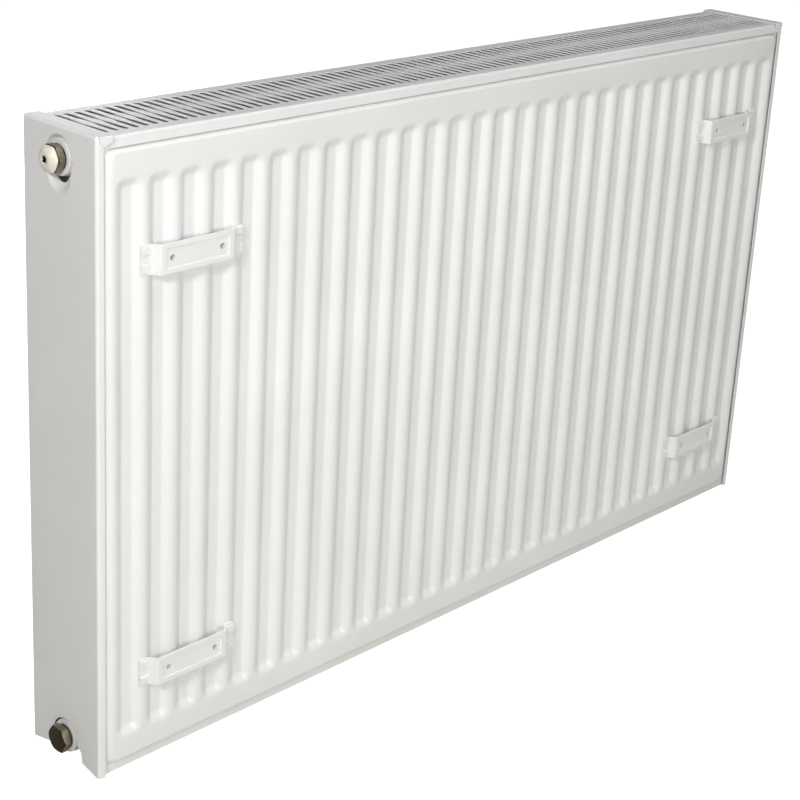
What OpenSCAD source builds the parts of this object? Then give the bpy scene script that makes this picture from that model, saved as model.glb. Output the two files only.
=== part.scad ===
// Steel panel radiator: two welded water panels with a convector behind each, a top grille,
// two clip-on side covers, four end connections, four welded hanging brackets, an air vent and
// a blind plug. X runs along the length, the wall side is +Y, and the radiator stands on Z = 0.

/* [Overall size] */
// Length over the two side covers
length = 1000; // [600:100:1400]
// Height from the bottom seam to the top of the side covers
height = 600; // [400:50:900]
// Depth over the two outer panel faces, without the hanging brackets
depth = 104; // [102:1:112]

/* [Water panels] */
// Thickness of the pressed steel sheets
sheet_t = 1.25; // [1:0.05:1.5]
// Depth of the pressing, from the seam to the face of a channel
press = 5; // [4:0.25:5.5]
// Nominal spacing of the upright water channels
channel_pitch = 33.3; // [32:0.1:40]
// Width of the groove between two channels, at the face
groove_w = 26.3; // [22:0.1:27]
// Width of a groove's flat floor
groove_floor_w = 12; // [8:0.5:14]
// Distance from the bottom edge to the lower end of the grooves
groove_bottom = 36; // [34:1:50]
// Distance from the top of the covers to the upper end of the grooves
groove_top = 39; // [38:1:50]
// Width of the flat welded seam along the bottom edge
bottom_seam = 9.5; // [8:0.5:11]

/* [Convectors] */
// Thickness of the folded convector sheet
fin_t = 0.4; // [0.4:0.1:1]
// Depth of the folds, out from the water panel
fin_depth = 29; // [20:1:30]
// Distance from the bottom edge to the lower end of the convectors
fin_bottom = 50; // [45:5:80]
// Distance from the top of the covers to the upper end of the convectors
fin_top = 52; // [45:1:80]

/* [Connections] */
// Distance from the bottom edge to the lower connection axis
lower_axis = 23; // [22:0.5:26]
// Distance from the top of the covers to the upper connection axis
upper_axis = 27; // [26:0.5:30]
// Radius of the tapped socket, a half-inch pipe thread cut to its crests
socket_r = 9.3; // [9.2:0.05:9.5]
// Length of the tapped socket
socket_depth = 18; // [14:1:20]
// Outer radius of the socket at its open end
socket_outer_r = 14.75; // [13:0.25:16]

/* [Top grille] */
// Thickness of the grille sheet
grille_t = 1; // [0.8:0.1:1.2]
// Spacing of the air slots
slot_pitch = 10.5; // [9:0.25:14]
// Width of an air slot
slot_w = 5.5; // [4:0.25:6.5]
// Length of an air slot, across the radiator
slot_length = 72; // [50:1:76]
// Height of the folded lip along the front and the back
lip_h = 10; // [8:0.5:11]

/* [Side covers] */
// Thickness of the cover sheet
cover_t = 1; // [0.8:0.1:1.2]
// Width of the flanges that wrap onto the panel faces
cover_flange = 7.5; // [6:0.5:8]
// Width of the flange that lies over the end of the grille
cover_top_flange = 17; // [12:0.5:18]

/* [Hanging brackets] */
// Distance from the end of the radiator to the middle of a bracket
bracket_inset = 100; // [100:0.5:110]
// Distance from the top of the covers to the axis of the upper bracket holes
bracket_top = 112; // [90:1:130]
// Distance from the bottom edge to the axis of the lower bracket holes
bracket_bottom = 94; // [80:1:110]
// Height of a bracket
bracket_h = 27; // [20:1:32]
// How far a bracket stands out from the panel face
bracket_out = 9; // [8:0.5:14]
// Distance between the two holes of a bracket
bracket_holes = 55; // [40:1:60]
// Radius of the bracket holes
bracket_hole_r = 2.75; // [2:0.25:3.5]

/* [Hidden] */

EPS = 0.01;
CUT = 1;                                  // how far a cutting solid runs past a face
ROUND = 64;

// Main places. The seam plane is where a panel's two sheets are welded together.
half_x = length / 2;
face_y = depth / 2;
seam_y = face_y - press - sheet_t;
inner_y = seam_y - press - sheet_t;
upper_z = height - upper_axis;
lower_z = lower_axis;

// Water panels
pitches = round(length / channel_pitch);
pitch = length / pitches;
sheet_half_x = half_x - 2;
sheet_top = height - 5;
field_half_x = sheet_half_x - 6;          // where the pressing starts, inside the side seam
field_run_x = 6;                          // how far the pressing slopes up, along X
field_run_z = 3.5;                        // the same along Z
field_top = sheet_top - 7;
groove_run = (groove_w - groove_floor_w) / 2;
groove_run_z = 7;
groove_hi = height - groove_top;

// Connections
tee_x = half_x - 32;                      // axis of the tube that joins the two panels
tee_r = 10;
tee_bore_r = 8;
shoulder_r = 16.5;
shoulder_x = half_x - 5;

// Top grille
grille_top = height - 1.4;
grille_half_x = half_x - 2;
lip_y = depth / 2 - 2.3;                  // outer face of a lip
slots = floor((length - 2 * cover_top_flange - slot_w) / slot_pitch) + 1;

// Side covers
cover_y = depth / 2 - 1;                  // outer face of the front and back flanges
cover_bottom = 0.5;
cover_fold_r = 3;
tab_y = cover_y + 1.2;                    // outer face of the folded corner tabs
tab_h = 10.5;
tab_point = 4;
hole_r = 16.75;                           // upper end of the pear-shaped hole
hole_low_r = 9;
hole_low_drop = 13;                       // lower end's centre, below the connection axis
notch_half_w = 24.5;
notch_spread = 1;
notch_top = 42;
notch_corner_r = 14;
notch_rise = 5.5;                         // how far the bottom edge rises towards the notch

// Hanging brackets
plate_t = 2;
plate_half_l = 38.5;
foot_in = 45;                             // where the sloped leg meets the foot
foot_out = 55.5;
emboss = 0.6;

// Air vent and blind plug, measured along X from the socket's open end
ring_r = 0.95;                            // half the thickness of an O-ring
ring_mid_r = 10.9;
thread_clearance = 0.1;
thread_in = 14;                           // how far a plug reaches into its socket
vent_flange_r = 12.6;
vent_flange_end = 8;
vent_spigot_r = 7;
vent_spigot_end = 12;
vent_bore_r = 2.5;
vent_outlet_r = 1;                        // narrow bore that the seal closes
vent_seat = 2 - thread_in;                // where the seal rests
seal_r = 2.2;
seal_end = vent_seat + 1.5;
cap_af = 23;                              // across the flats
cap_round_r = 12.3;                       // rounds off the corners
cap_start = 8.4;
cap_end = 15;
cap_hole_r = 4;
screw_r = 2.45;
screw_head = 4.5;                         // side of the screw's square head
screw_head_start = vent_spigot_end + 0.3;
screw_head_h = 2;
screw_slot = 1;
hex_af = 24;
hex_start = 3.2;
hex_end = 10;

// The bounding box reaches from the left cover to the vent cap, and from the front corner
// tabs to the hanging brackets. Its middle is brought over the origin.
mid_x = cap_end / 2;
mid_y = (face_y + bracket_out - tab_y) / 2;

module placed() translate([-mid_x, -mid_y, 0]) children();
module along_x() rotate([90, 0, 90]) children();
module steel() color([0.93, 0.93, 0.92]) children();
module brass() color([0.55, 0.45, 0.32]) children();
module spring_steel() color([0.62, 0.63, 0.65]) children();
module rubber() color([0.1, 0.1, 0.1]) children();
module cream() color([0.93, 0.91, 0.85]) children();

// ---- Pressed water panel sheets ----
// A sheet lies on the plane y = 0 and is pressed out towards +y.

// Sideways shift of a sloped wall that keeps the sheet's thickness square to the slope
function wall_shift(run) = sheet_t * tan(atan(press / run) / 2);

// Outline of the pressed field: lo and hi are where it starts, run is the length of its slope
function field_outline(lo, hi, run, shift, y) = [
  [lo + shift, y - press - CUT], [lo + shift, y - press], [lo + shift + run, y],
  [hi - shift - run, y], [hi - shift, y - press], [hi - shift, y - press - CUT]
];

// Outline of a groove between lo and hi at the face, with the slope carried on past the face
function groove_outline(lo, hi, run, shift, y, below) = [
  [lo - shift - run * CUT / press, y + CUT], [lo - shift + run, y - press],
  [lo - shift + run, y - press - below], [hi + shift - run, y - press - below],
  [hi + shift - run, y - press], [hi + shift + run * CUT / press, y + CUT]
];

function swapped(points) = [for (p = points) [p[1], p[0]]];

module pressed_field(shift_x, shift_z, y) {
  intersection() {
    linear_extrude(height)
      polygon(field_outline(-field_half_x, field_half_x, field_run_x, shift_x, y));
    translate([-half_x, 0, 0]) along_x() linear_extrude(length)
      polygon(swapped(field_outline(bottom_seam, field_top, field_run_z, shift_z, y)));
  }
}

module grooves(shift_x, shift_z, y, below) {
  intersection() {
    linear_extrude(height)
      for (i = [1 : pitches - 1])
        translate([i * pitch - half_x, 0])
          polygon(groove_outline(-groove_w / 2, groove_w / 2, groove_run, shift_x, y, below));
    translate([-half_x, 0, 0]) along_x() linear_extrude(length)
      polygon(swapped(groove_outline(groove_bottom, groove_hi, groove_run_z, shift_z, y, below)));
  }
}

module pressed_sheet() {
  face = press + sheet_t;
  difference() {
    union() {
      translate([-sheet_half_x, 0, 0]) cube([2 * sheet_half_x, sheet_t, sheet_top]);
      difference() {
        pressed_field(0, 0, face);
        translate([-half_x, sheet_t / 2 - 2 * press, -CUT])
          cube([length, 2 * press, height + 2 * CUT]);
      }
    }
    grooves(0, 0, face, 0);
    difference() {
      pressed_field(wall_shift(field_run_x), wall_shift(field_run_z), press);
      grooves(wall_shift(groove_run), wall_shift(groove_run_z), press, 2 * CUT);
    }
  }
}

module outer_sheet() steel() translate([0, seam_y, 0]) pressed_sheet();

module inner_sheet() {
  steel() translate([0, seam_y, 0]) difference() {
    mirror([0, 1, 0]) pressed_sheet();
    for (x = [-tee_x, tee_x], z = [lower_z, upper_z])
      translate([x, CUT, z]) rotate([90, 0, 0])
        cylinder(r = tee_bore_r, h = press + sheet_t + 2 * CUT, $fn = ROUND);
  }
}

// ---- Convectors ----
// One folded sheet welded to the channel backs, drawn as a path and a parallel path

fin_waves = pitches - 3;
fin_crest = 5;                            // half the width of a fold's flat, on the panel
fin_far_crest = 6;                        // the same at the free side
fin_start_x = -fin_waves * pitch / 2;

function fin_path() = [
  for (i = [0 : fin_waves - 1], p = [
    [-fin_crest, 0], [fin_crest, 0],
    [pitch / 2 - fin_far_crest, fin_depth - fin_t], [pitch / 2 + fin_far_crest, fin_depth - fin_t]
  ]) [fin_start_x + i * pitch + p[0], p[1]],
  [fin_start_x + fin_waves * pitch - fin_crest, 0],
  [fin_start_x + fin_waves * pitch + fin_crest, 0]
];

function left_of(a, b) = [a[1] - b[1], b[0] - a[0]] / norm(b - a);
function mitre(m, n) = (m + n) * fin_t / (1 + m * n);
function parallel(p) = [
  for (i = [0 : len(p) - 1])
    let (m = left_of(p[max(i - 1, 0)], p[max(i, 1)]),
         n = left_of(p[min(i, len(p) - 2)], p[min(i + 1, len(p) - 1)]))
    p[i] + mitre(m, n)
];
function reversed(p) = [for (i = [len(p) - 1 : -1 : 0]) p[i]];

module convector() {
  steel() translate([0, inner_y, fin_bottom]) mirror([0, 1, 0])
    linear_extrude(height - fin_top - fin_bottom)
      polygon(concat(fin_path(), reversed(parallel(fin_path()))));
}

// ---- Connection tee ----
// A cross tube joins the two water panels, and a tapped socket points out of the end

module tee(z) {
  steel() translate([0, 0, z]) difference() {
    union() {
      translate([tee_x, inner_y, 0]) rotate([90, 0, 0])
        cylinder(r = tee_r, h = 2 * inner_y, $fn = ROUND);
      translate([tee_x, 0, 0]) rotate([0, 90, 0])
        cylinder(r = shoulder_r, h = shoulder_x - tee_x, $fn = ROUND);
      translate([tee_x, 0, 0]) rotate([0, 90, 0])
        cylinder(r = socket_outer_r, h = half_x - tee_x, $fn = ROUND);
    }
    translate([tee_x, inner_y + CUT, 0]) rotate([90, 0, 0])
      cylinder(r = tee_bore_r, h = 2 * inner_y + 2 * CUT, $fn = ROUND);
    translate([tee_x, 0, 0]) rotate([0, 90, 0])
      cylinder(r = tee_bore_r, h = half_x - tee_x, $fn = ROUND);
    translate([half_x - socket_depth, 0, 0]) rotate([0, 90, 0])
      cylinder(r = socket_r, h = socket_depth + CUT, $fn = ROUND);
  }
}

// ---- Top grille and its clips ----

module slot_outline() {
  straight = slot_length - slot_w;
  square([slot_w, straight], center = true);
  for (y = [-straight / 2, straight / 2]) translate([0, y]) circle(d = slot_w, $fn = 24);
}

// Half-rounded channel, open downwards: the section of the grille across the radiator
module grille_section(inset) {
  r = 2.5 - inset;
  half = lip_y - inset;
  top = grille_top - inset;
  translate([-half, top - lip_h - inset * CUT]) square([2 * half, lip_h - r + inset * CUT]);
  translate([-half + r, top - r - EPS]) square([2 * (half - r), r + EPS]);
  for (y = [-half + r, half - r]) translate([y, top - r]) circle(r = r, $fn = 32);
}

module top_grille() {
  steel() placed() difference() {
    translate([-grille_half_x, 0, 0]) along_x() linear_extrude(2 * grille_half_x)
      difference() {
        grille_section(0);
        grille_section(grille_t);
      }
    translate([0, 0, grille_top - 2 * grille_t]) linear_extrude(3 * grille_t)
      for (i = [0 : slots - 1])
        translate([(i - (slots - 1) / 2) * slot_pitch, 0]) slot_outline();
  }
}

// Spring clip that grips the top seam of a panel and holds the grille's lip
module grille_clip() {
  t = 0.6;
  w = 16;
  leg = 6.4;
  bulge = 0.8;
  bulge_z = -3.5;
  translate([-w / 2, seam_y, sheet_top]) along_x() linear_extrude(w)
    polygon([
      [-sheet_t - t, -leg], [-sheet_t - t, t], [sheet_t + t, t],
      [sheet_t + t + bulge, bulge_z], [sheet_t + t, -leg], [sheet_t, -leg],
      [sheet_t + bulge, bulge_z], [sheet_t, 0], [-sheet_t, 0], [-sheet_t, -leg]
    ]);
}

module grille_clips() {
  inset = 90;
  spring_steel() placed()
    for (x = [-half_x + inset, 0, half_x - inset]) translate([x, 0, 0]) {
      grille_clip();
      mirror([0, 1, 0]) grille_clip();
    }
}

// ---- Side cover ----
// The outlines are drawn in the plane of the cover, across the radiator and up

// Two round ends joined by straight sides, which cross the circles just inside their tangents
module pear_outline(r, low_r, drop) {
  a = asin((low_r - r) / drop);
  hi = r - 3 * EPS;
  lo = low_r - 3 * EPS;
  circle(r = r, $fn = ROUND);
  translate([0, -drop]) circle(r = low_r, $fn = ROUND);
  polygon([
    [hi * cos(a), hi * sin(a)], [-hi * cos(a), hi * sin(a)],
    [-lo * cos(a), lo * sin(a) - drop], [lo * cos(a), lo * sin(a) - drop]
  ]);
}

module notch_outline() {
  r = notch_corner_r;
  half = notch_half_w;
  polygon([
    [-half, notch_top - r], [half, notch_top - r],
    [half + notch_spread, notch_rise], [cover_y, 0], [cover_y, -CUT],
    [-cover_y, -CUT], [-cover_y, 0], [-half - notch_spread, notch_rise]
  ]);
  translate([-half + r, notch_top - r - EPS]) square([2 * (half - r), r + EPS]);
  for (y = [-half + r, half - r]) translate([y, notch_top - r]) circle(r = r, $fn = ROUND);
}

// Block of the cover's outer form, or of its hollow when inset by the sheet's thickness
module cover_block(inset) {
  r = cover_fold_r - inset;
  top = height - inset;
  out = half_x - inset;
  side = cover_y - inset;
  bottom = cover_bottom - inset * 2;
  back = half_x - cover_top_flange - inset;
  intersection() {
    translate([0, 0, bottom]) linear_extrude(top - bottom) {
      translate([back, -side]) square([out - r - back, 2 * side]);
      translate([out - r - EPS, r - side]) square([r + EPS, 2 * (side - r)]);
      for (y = [r - side, side - r]) translate([out - r, y]) circle(r = r, $fn = 32);
    }
    translate([0, side, 0]) rotate([90, 0, 0]) linear_extrude(2 * side) {
      translate([back, bottom]) square([out - back, top - r - bottom]);
      translate([back, top - r - EPS]) square([out - r - back, r + EPS]);
      translate([out - r, top - r]) circle(r = r, $fn = 32);
    }
  }
}

// Five-sided tab folded down from the top flange over the corner of the grille
module cover_tab() {
  lo = half_x - cover_top_flange + 1;
  hi = half_x - cover_fold_r;
  translate([0, tab_y, 0]) rotate([90, 0, 0]) linear_extrude(cover_t)
    polygon([
      [lo, height], [hi, height], [hi, height - tab_h / 2],
      [(lo + hi) / 2 + tab_point / 2, height - tab_h], [lo, height - tab_h + tab_point]
    ]);
  translate([lo, cover_y - 2 * cover_t, height - cover_t])
    cube([hi - lo, tab_y - cover_y + 2 * cover_t, cover_t]);
}

module side_cover() {
  steel() {
    difference() {
      cover_block(0);
      cover_block(cover_t);
      translate([half_x - cover_top_flange - CUT, -depth, -CUT])
        cube([cover_top_flange - cover_flange + CUT, 2 * depth, height - cover_t + CUT]);
      translate([half_x - 2 * cover_t, 0, 0]) along_x() linear_extrude(3 * cover_t) {
        notch_outline();
        translate([0, upper_z]) pear_outline(hole_r, hole_low_r, hole_low_drop);
      }
    }
    cover_tab();
    mirror([0, 1, 0]) cover_tab();
  }
}

// Spring clip inside a cover flange, open towards the panel's side seam
module cover_clip(z) {
  t = 0.6;
  gap = 0.35;
  w = 14;
  reach = 5;
  corner = cover_fold_r - cover_t;         // kept clear of the cover's fold
  seam = sheet_t + gap;
  back = cover_y - cover_t - seam_y;
  spring_steel() translate([sheet_half_x + gap, seam_y, z]) linear_extrude(w)
    polygon([
      [-reach, -seam - t], [t, -seam - t], [t, back - corner], [t - corner, back],
      [-reach, back], [-reach, back - t], [-corner, back - t], [0, back - t - corner],
      [0, -seam], [-reach, -seam]
    ]);
}

module cover_clips() {
  inset = 90;
  for (z = [inset, height - inset]) {
    cover_clip(z);
    mirror([0, 1, 0]) cover_clip(z);
  }
}

// ---- Hanging bracket ----
// A bent strap welded to the face of the rear panel by its two feet, around x = 0, z = 0

function bracket_half() = [
  [plate_half_l - 1, bracket_out - plate_t], [foot_in - 1, 0], [foot_out, 0],
  [foot_out, plate_t], [foot_in, plate_t], [plate_half_l, bracket_out]
];
function flipped_x(points) = [for (p = reversed(points)) [-p[0], p[1]]];

module bracket_shape() {
  panel_l = bracket_holes + 13;
  panel_h = bracket_h - 9;
  groove = 1.6;
  difference() {
    translate([0, 0, -bracket_h / 2]) linear_extrude(bracket_h)
      polygon(concat(bracket_half(), flipped_x(bracket_half())));
    translate([-panel_l / 2, bracket_out - emboss, -panel_h / 2])
      cube([panel_l, 2 * emboss, panel_h]);
    for (x = [-foot_out - CUT, foot_in + 1.5], z = [-0.22, 0.22])
      translate([x, plate_t - emboss, z * bracket_h - groove / 2])
        cube([foot_out - foot_in - 0.5, 2 * emboss, groove]);
    for (x = [-bracket_holes / 2, bracket_holes / 2])
      translate([x, bracket_out + CUT, 0]) rotate([90, 0, 0])
        cylinder(r = bracket_hole_r, h = plate_t + 2 * CUT, $fn = ROUND);
  }
}

module bracket(side, z) {
  steel() translate([side * (half_x - bracket_inset), face_y, z]) bracket_shape();
}

// ---- Air vent and blind plug ----
// Each is drawn around the X axis, with x = 0 at the open end of its socket

module round_x(r, from, to) {
  translate([from, 0, 0]) rotate([0, 90, 0]) cylinder(r = r, h = to - from, $fn = ROUND);
}

module hexagon_x(af, from, to) {
  translate([from, 0, 0]) rotate([0, 90, 0])
    cylinder(d = af / cos(30), h = to - from, $fn = 6);
}

module at_socket(z) placed() translate([half_x, 0, z]) children();

module o_ring() {
  rubber() translate([ring_r, 0, 0]) rotate([0, 90, 0])
    rotate_extrude($fn = ROUND) translate([ring_mid_r, 0]) circle(r = ring_r, $fn = 24);
}

module vent_plug() {
  at_socket(upper_z) brass() difference() {
    union() {
      round_x(socket_r - thread_clearance, -thread_in, 2 * ring_r + EPS);
      round_x(vent_flange_r, 2 * ring_r, vent_flange_end);
      round_x(vent_spigot_r, vent_flange_end - EPS, vent_spigot_end);
    }
    round_x(vent_outlet_r, -thread_in - CUT, 0);
    round_x(vent_bore_r, vent_seat, vent_spigot_end + CUT);
  }
}

module vent_seal() {
  at_socket(upper_z) rubber() round_x(seal_r, vent_seat, seal_end);
}

module vent_screw() {
  slot_l = 2 * screw_head;
  at_socket(upper_z) brass() difference() {
    union() {
      round_x(screw_r, seal_end, screw_head_start);
      translate([screw_head_start - EPS, -screw_head / 2, -screw_head / 2])
        cube([screw_head_h, screw_head, screw_head]);
    }
    translate([screw_head_start + 0.6 * screw_head_h, -slot_l / 2, -screw_slot / 2])
      cube([screw_head_h, slot_l, screw_slot]);
  }
}

module vent_cap() {
  outlet_r = 1.2;
  fit = 0.05;
  at_socket(upper_z) cream() difference() {
    intersection() {
      hexagon_x(cap_af, cap_start, cap_end);
      round_x(cap_round_r, cap_start, cap_end);
    }
    round_x(vent_spigot_r + fit, cap_start - CUT, screw_head_start);
    round_x(cap_hole_r, cap_start, cap_end + CUT);
    translate([cap_start + 1 + outlet_r, 0, 0]) rotate([180, 0, 0])
      cylinder(r = outlet_r, h = cap_af, $fn = 24);
  }
}

module blind_plug() {
  flange_r = 13.4;
  at_socket(lower_z) brass() {
    round_x(socket_r - thread_clearance, -thread_in, 2 * ring_r + EPS);
    round_x(flange_r, 2 * ring_r, hex_start + EPS);
    hexagon_x(hex_af, hex_start, hex_end);
  }
}

// ---- The sub-parts ----

module mirrored_y() placed() mirror([0, 1, 0]) children();
module mirrored_x() placed() mirror([1, 0, 0]) children();

mirrored_y() outer_sheet();  // front_outer_sheet
mirrored_y() inner_sheet();  // front_inner_sheet
placed() inner_sheet();  // rear_inner_sheet
placed() outer_sheet();  // rear_outer_sheet
mirrored_y() convector();  // front_convector
placed() convector();  // rear_convector
placed() tee(upper_z);  // tee_top_right
placed() tee(lower_z);  // tee_bottom_right
mirrored_x() tee(upper_z);  // tee_top_left
mirrored_x() tee(lower_z);  // tee_bottom_left
top_grille();
grille_clips();
placed() side_cover();  // side_cover_right
placed() cover_clips();  // cover_clips_right
mirrored_x() side_cover();  // side_cover_left
mirrored_x() cover_clips();  // cover_clips_left
placed() bracket(1, height - bracket_top);  // bracket_top_right
placed() bracket(1, bracket_bottom);  // bracket_bottom_right
placed() bracket(-1, height - bracket_top);  // bracket_top_left
placed() bracket(-1, bracket_bottom);  // bracket_bottom_left
vent_plug();
at_socket(upper_z) o_ring();  // vent_o_ring
vent_screw();
vent_seal();
vent_cap();
blind_plug();
at_socket(lower_z) o_ring();  // blind_o_ring
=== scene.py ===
"""Looks of the panel radiator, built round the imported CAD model.

Lengths are in millimetres until a piece is made, and measured from the middle of the radiator:
x runs along it, y is positive on the wall side and z is the height over the bottom seam.
"""

import math

import bmesh
import bpy
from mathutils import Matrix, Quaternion, Vector


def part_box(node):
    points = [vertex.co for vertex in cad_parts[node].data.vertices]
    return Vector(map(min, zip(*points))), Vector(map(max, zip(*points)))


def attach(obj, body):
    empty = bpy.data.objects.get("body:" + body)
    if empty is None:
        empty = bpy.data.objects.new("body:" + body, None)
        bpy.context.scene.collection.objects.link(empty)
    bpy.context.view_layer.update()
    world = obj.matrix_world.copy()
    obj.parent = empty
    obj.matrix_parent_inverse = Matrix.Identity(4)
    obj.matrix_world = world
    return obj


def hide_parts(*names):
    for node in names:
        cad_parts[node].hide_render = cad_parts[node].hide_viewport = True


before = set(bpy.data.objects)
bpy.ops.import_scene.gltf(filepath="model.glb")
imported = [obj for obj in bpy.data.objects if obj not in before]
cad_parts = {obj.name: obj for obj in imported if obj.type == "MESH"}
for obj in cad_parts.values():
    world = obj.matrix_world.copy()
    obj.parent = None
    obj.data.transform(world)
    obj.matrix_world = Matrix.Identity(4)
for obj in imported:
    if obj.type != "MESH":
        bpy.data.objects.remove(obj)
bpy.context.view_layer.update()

MM = 0.001
DIGITS = 3                    # points that agree to so many decimals of a millimetre are one
MERGED = 10 ** -DIGITS
NEAR, FAR = 1e-6, 1e9
BEHIND = 2000                 # a place well behind a drawn face, for finding its outer side

SHEET_LO, SHEET_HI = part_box("rear_outer_sheet")
FRONT_LO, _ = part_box("front_outer_sheet")
MIDDLE = Vector(((SHEET_LO.x + SHEET_HI.x) / 2, (FRONT_LO.y + SHEET_HI.y) / 2, 0))


def node_mm(node):
    """Lowest and highest corner of a CAD node in millimetres, from the middle of the radiator."""
    return [(corner - MIDDLE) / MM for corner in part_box(node)]


# ---- Mesh building ----

class Surface:
    """Faces over shared points. Points that fall together are one point."""

    def __init__(self):
        self.points, self.known, self.faces = [], {}, []

    def point(self, p):
        """Number of the point, which is added if it isn't there yet."""
        key = tuple(round(c, DIGITS) for c in p)
        if key not in self.known:
            self.known[key] = len(self.points)
            self.points.append(tuple(p))
        return self.known[key]

    def face(self, *corners):
        """Face between the corners, unless too few of them are apart."""
        ids = []
        for p in corners:
            i = self.point(p)
            if i not in ids:
                ids.append(i)
        if len(ids) > 2:
            self.faces.append(ids)

    def grid(self, rows):
        """Faces between rows of as many points."""
        for a, b in zip(rows, rows[1:]):
            for i in range(len(a) - 1):
                self.face(a[i], a[i + 1], b[i + 1], b[i])


def to_object(name, surface, sign=(1, 1)):
    """A mesh object of the surface, in metres. A sign of -1 mirrors x or y."""
    bm = bmesh.new()
    verts = [
        bm.verts.new(Vector((x * sign[0], y * sign[1], z)) * MM + MIDDLE)
        for x, y, z in surface.points
    ]
    for ids in surface.faces:
        bm.faces.new([verts[i] for i in ids])
    bmesh.ops.recalc_face_normals(bm, faces=bm.faces[:])
    mesh = bpy.data.meshes.new(name)
    bm.to_mesh(mesh)
    bm.free()
    obj = bpy.data.objects.new(name, mesh)
    bpy.context.scene.collection.objects.link(obj)
    return obj


def face_away_from(obj, inside):
    """Turns an open sheet so that its faces look away from a point in millimetres."""
    centre = Vector(inside) * MM + MIDDLE
    mesh = obj.data
    total = sum((f.center - centre).normalized().dot(f.normal) * f.area for f in mesh.polygons)
    if total < 0:
        mesh.flip_normals()


def apply_modifiers(obj):
    """Puts what the modifiers make into the object's own mesh."""
    bpy.context.view_layer.update()
    made = bpy.data.meshes.new_from_object(
        obj.evaluated_get(bpy.context.evaluated_depsgraph_get())
    )
    old = obj.data
    obj.modifiers.clear()
    obj.data = made
    bpy.data.meshes.remove(old)
    made.name = obj.name


def shade(obj, angle=35):
    """Smooth shading, kept sharp where two faces meet at more than the angle."""
    bm = bmesh.new()
    bm.from_mesh(obj.data)
    for f in bm.faces:
        f.smooth = True
    for e in bm.edges:
        e.smooth = len(e.link_faces) == 2 and e.calc_face_angle(0) < math.radians(angle)
    bm.to_mesh(obj.data)
    bm.free()
    m = obj.modifiers.new("normals", "WEIGHTED_NORMAL")
    m.keep_sharp = True
    apply_modifiers(obj)


def add_bevel(obj, width):
    """Breaks the sharp edges, once the modifiers are applied."""
    m = obj.modifiers.new("edge", "BEVEL")
    m.width = width * MM
    m.segments = 2
    m.limit_method = "ANGLE"
    m.angle_limit = math.radians(40)


def sheet_metal(name, surface, thickness, inside, sign=(1, 1), bevel=0):
    """Closed sheet of even thickness behind the drawn surface, with its edges broken by a bevel
    when a width is given.
    """
    obj = to_object(name, surface, sign)
    face_away_from(obj, (inside[0] * sign[0], inside[1] * sign[1], inside[2]))
    m = obj.modifiers.new("thickness", "SOLIDIFY")
    m.thickness = thickness * MM
    m.offset = -1
    m.use_even_offset = True
    if bevel:
        add_bevel(obj, bevel)
    apply_modifiers(obj)
    shade(obj)
    return obj


def place(obj, body, material, slot, *nodes):
    """Gives the piece its material and body, and hides the CAD nodes that it replaces."""
    obj.data.materials.append(material)
    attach(obj, body)
    if nodes:
        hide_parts(*nodes)
    return obj


# ---- Materials ----

class Nodes:
    """Short ways to add nodes to a material."""

    def __init__(self, name):
        self.material = bpy.data.materials.new(name)
        self.material.use_nodes = True
        self.tree = self.material.node_tree
        self.shader = self.tree.nodes["Principled BSDF"]
        self.place = self.tree.nodes.new("ShaderNodeTexCoord").outputs["Object"]

    def link(self, a, b):
        self.tree.links.new(a, b)

    def noise(self, scale, detail, stretch=None):
        """Noise from 0 to 1 over the object, finer along the axes that are stretched more."""
        n = self.tree.nodes.new("ShaderNodeTexNoise")
        n.inputs["Scale"].default_value = scale
        n.inputs["Detail"].default_value = detail
        source = self.place
        if stretch:
            m = self.tree.nodes.new("ShaderNodeMapping")
            m.inputs["Scale"].default_value = stretch
            self.link(source, m.inputs["Vector"])
            source = m.outputs["Vector"]
        self.link(source, n.inputs["Vector"])
        return n.outputs["Fac"]

    def ramp(self, value, stops):
        """Colour at the value, between stops of (place, colour)."""
        r = self.tree.nodes.new("ShaderNodeValToRGB")
        items = r.color_ramp.elements
        while len(items) < len(stops):
            items.new(0.5)
        for item, (at, colour) in zip(items, stops):
            item.position = at
            item.color = (*colour, 1)
        self.link(value, r.inputs["Fac"])
        return r.outputs["Color"]

    def spread(self, value, lo, hi):
        """The middle stretch of a noise, spread from lo to hi."""
        m = self.tree.nodes.new("ShaderNodeMapRange")
        m.inputs["From Min"].default_value = 0.3
        m.inputs["From Max"].default_value = 0.7
        m.inputs["To Min"].default_value = lo
        m.inputs["To Max"].default_value = hi
        self.link(value, m.inputs["Value"])
        return m.outputs["Result"]

    def bump(self, value, distance, strength):
        b = self.tree.nodes.new("ShaderNodeBump")
        b.inputs["Distance"].default_value = distance
        b.inputs["Strength"].default_value = strength
        self.link(value, b.inputs["Height"])
        return b.outputs["Normal"]

    def axis(self, coordinates, name):
        """One of the three coordinates."""
        split = self.tree.nodes.new("ShaderNodeSeparateXYZ")
        self.link(coordinates, split.inputs[0])
        return split.outputs[name]

    def maths(self, operation, *values):
        """A math node over outputs and numbers."""
        m = self.tree.nodes.new("ShaderNodeMath")
        m.operation = operation
        for socket, value in zip(m.inputs, values):
            if isinstance(value, float):
                socket.default_value = value
            else:
                self.link(value, socket)
        return m.outputs[0]

    def set(self, **values):
        """Even values of the shader. Underscores in a name stand for spaces."""
        for name, value in values.items():
            self.shader.inputs[name.replace("_", " ")].default_value = value

    def use(self, **outputs):
        """Links outputs to the shader and hands over the finished material."""
        for name, output in outputs.items():
            self.link(output, self.shader.inputs[name.replace("_", " ")])
        return self.material


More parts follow.
